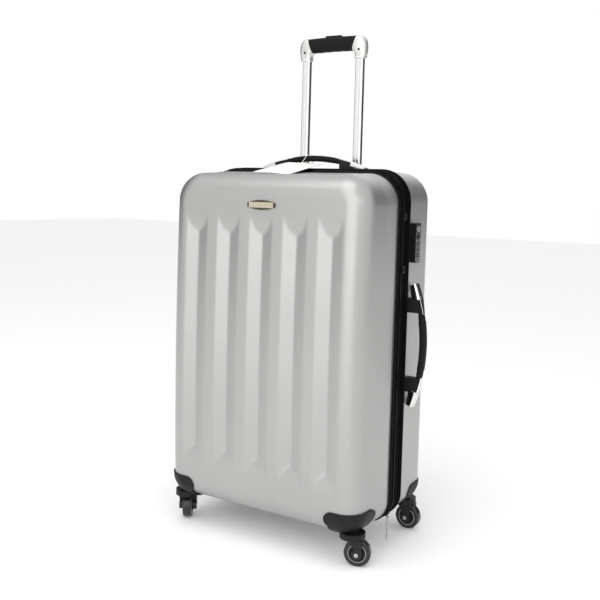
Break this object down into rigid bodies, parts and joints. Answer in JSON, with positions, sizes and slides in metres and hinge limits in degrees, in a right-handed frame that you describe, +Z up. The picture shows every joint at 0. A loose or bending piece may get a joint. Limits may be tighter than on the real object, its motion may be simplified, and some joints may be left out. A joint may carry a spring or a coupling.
{
  "type": "hard shell suitcase",
  "caption": "Hard shell spinner suitcase with fluted front, zip band, combination lock, carry handles and a pull-out trolley handle.",
  "frame": {"origin": "on the floor, midway between the swivel axes of the casters", "axes": "+Z up, -Y towards the fluted front, +X towards the side with the lock and side handle"},
  "size_m": [0.5049, 0.3075, 1.046],
  "materials": {
    "shell": "metallic silver lacquer, satin",
    "lining": "woven polyester",
    "band": "nylon zip tape and piping",
    "guard": "fine texture",
    "black_gloss": "polished",
    "black_satin": "satin",
    "grip": "soft touch",
    "chrome": "mirror",
    "tube": "polished anodised",
    "elbow": "silver lacquer",
    "steel": "plated",
    "tyre": "polyurethane",
    "badge": "champagne satin",
    "badge_rim": "dark bronze",
    "card": "coated card"
  },
  "bodies": {
    "rear_case": {"rear_shell": "shell", "rear_lining": "lining", "rear_binding": "band", "rear_zip_tape": "band", "expander_gusset": "band", "hinge_tape": "band", "rear_left_guard": "guard", "rear_right_guard": "guard", "rear_kingpins": "steel", "trolley_bezel": "black_satin", "outer_tubes": "steel", "trolley_foot": "black_satin", "lock_body": "black_gloss", "handle_caps": "chrome", "handle_bases": "black_satin", "cross_straps": "band", "strap_buckle": "black_satin", "zip_sliders": "black_satin"},
    "front_case": {"front_shell": "shell", "front_lining": "lining", "front_binding": "band", "front_zip_tape": "band", "badge_frame": "badge_rim", "badge_plate": "badge", "front_left_guard": "guard", "front_right_guard": "guard", "front_kingpins": "steel"},
    "trolley": {"inner_tubes": "tube", "trolley_elbows": "elbow", "trolley_grip": "grip"},
    "release": {"release_button": "black_satin", "release_rods": "steel"},
    "left_pin": {"left_lock_pin": "steel"},
    "right_pin": {"right_lock_pin": "steel"},
    "top_handle": {"top_handle_grip": "grip", "swing_tag": "card", "tag_string": "card"},
    "side_handle": {"side_handle_grip": "grip"},
    "key": {"key_cylinder": "steel"},
    "slide": {"lock_slide": "black_satin"},
    "pull": {"zip_pull": "steel"},
    "dial_bottom": {"lock_dial_bottom": "black_gloss"},
    "dial_middle": {"lock_dial_middle": "black_gloss"},
    "dial_top": {"lock_dial_top": "black_gloss"},
    "caster_front_left": {"caster_fork_front_left": "guard", "caster_axle_front_left": "steel"},
    "wheel_front_left": {"wheel_hub_front_left": "black_satin", "wheel_tyre_front_left": "tyre"},
    "caster_front_right": {"caster_fork_front_right": "guard", "caster_axle_front_right": "steel"},
    "wheel_front_right": {"wheel_hub_front_right": "black_satin", "wheel_tyre_front_right": "tyre"},
    "caster_rear_left": {"caster_fork_rear_left": "guard", "caster_axle_rear_left": "steel"},
    "wheel_rear_left": {"wheel_hub_rear_left": "black_satin", "wheel_tyre_rear_left": "tyre"},
    "caster_rear_right": {"caster_fork_rear_right": "guard", "caster_axle_rear_right": "steel"},
    "wheel_rear_right": {"wheel_hub_rear_right": "black_satin", "wheel_tyre_rear_right": "tyre"}
  },
  "joints": [
    {"name": "lid_hinge", "type": "hinge", "parent": "rear_case", "child": "front_case", "pos_m": [-0.236, -0.009, 0.405], "axis": [0, 0, -1], "range_deg": [0, 180], "deforming": ["hinge_tape", "swing_tag", "tag_string"]},
    {"name": "trolley_slide", "type": "slide", "parent": "rear_case", "child": "trolley", "axis": [0, 0, 1], "range_m": [-0.28, 0]},
    {"name": "release_press", "type": "slide", "parent": "trolley", "child": "release", "axis": [0, 0, -1], "range_m": [0, 0.003], "stiffness_N_per_m": 900, "springref_m": -0.003},
    {"name": "left_pin_draw", "type": "slide", "parent": "trolley", "child": "left_pin", "axis": [1, 0, 0], "range_m": [0, 0.003]},
    {"name": "right_pin_draw", "type": "slide", "parent": "trolley", "child": "right_pin", "axis": [-1, 0, 0], "range_m": [0, 0.003]},
    {"name": "top_handle_lift", "type": "slide", "parent": "rear_case", "child": "top_handle", "axis": [0, 0, 1], "range_m": [0, 0.005]},
    {"name": "side_handle_lift", "type": "slide", "parent": "rear_case", "child": "side_handle", "axis": [1, 0, 0], "range_m": [0, 0.005]},
    {"name": "dial_bottom_turn", "type": "hinge", "parent": "rear_case", "child": "dial_bottom", "pos_m": [0.24, 0.041, 0.588], "axis": [0, 0, 1], "continuous": true},
    {"name": "dial_middle_turn", "type": "hinge", "parent": "rear_case", "child": "dial_middle", "pos_m": [0.24, 0.041, 0.599], "axis": [0, 0, 1], "continuous": true},
    {"name": "dial_top_turn", "type": "hinge", "parent": "rear_case", "child": "dial_top", "pos_m": [0.24, 0.041, 0.61], "axis": [0, 0, 1], "continuous": true},
    {"name": "key_turn", "type": "hinge", "parent": "rear_case", "child": "key", "pos_m": [0.245, 0.041, 0.64], "axis": [1, 0, 0], "range_deg": [0, 90]},
    {"name": "lock_slide_press", "type": "slide", "parent": "rear_case", "child": "slide", "axis": [0, 0, 1], "range_m": [0, 0.003], "stiffness_N_per_m": 300, "springref_m": -0.003},
    {"name": "zip_pull_swing", "type": "hinge", "parent": "rear_case", "child": "pull", "pos_m": [0.21859, -0.0015, 0.06041], "axis": [0, -1, 0], "range_deg": [-20, 80]},
    {"name": "swivel_front_left", "type": "hinge", "parent": "front_case", "child": "caster_front_left", "pos_m": [-0.2008, -0.116, 0.056], "axis": [0, 0, 1], "continuous": true},
    {"name": "roll_front_left", "type": "hinge", "parent": "caster_front_left", "child": "wheel_front_left", "pos_m": [-0.2063, -0.10647, 0.026], "axis": [-0.866, -0.5, 0], "continuous": true},
    {"name": "swivel_front_right", "type": "hinge", "parent": "front_case", "child": "caster_front_right", "pos_m": [0.2008, -0.116, 0.056], "axis": [0, 0, 1], "continuous": true},
    {"name": "roll_front_right", "type": "hinge", "parent": "caster_front_right", "child": "wheel_front_right", "pos_m": [0.21126, -0.1126, 0.026], "axis": [-0.309, 0.9511, 0], "continuous": true},
    {"name": "swivel_rear_left", "type": "hinge", "parent": "rear_case", "child": "caster_rear_left", "pos_m": [-0.2008, 0.116, 0.056], "axis": [0, 0, 1], "continuous": true},
    {"name": "roll_rear_left", "type": "hinge", "parent": "caster_rear_left", "child": "wheel_rear_left", "pos_m": [-0.19237, 0.12307, 0.026], "axis": [-0.6428, 0.766, 0], "continuous": true},
    {"name": "swivel_rear_right", "type": "hinge", "parent": "rear_case", "child": "caster_rear_right", "pos_m": [0.2008, 0.116, 0.056], "axis": [0, 0, 1], "continuous": true},
    {"name": "roll_rear_right", "type": "hinge", "parent": "caster_rear_right", "child": "wheel_rear_right", "pos_m": [0.2118, 0.116, 0.026], "axis": [0, 1, 0], "continuous": true}
  ],
  "couplings": [
    {"joint": "left_pin_draw", "follows": "release_press", "ratio": 1},
    {"joint": "right_pin_draw", "follows": "release_press", "ratio": 1}
  ]
}
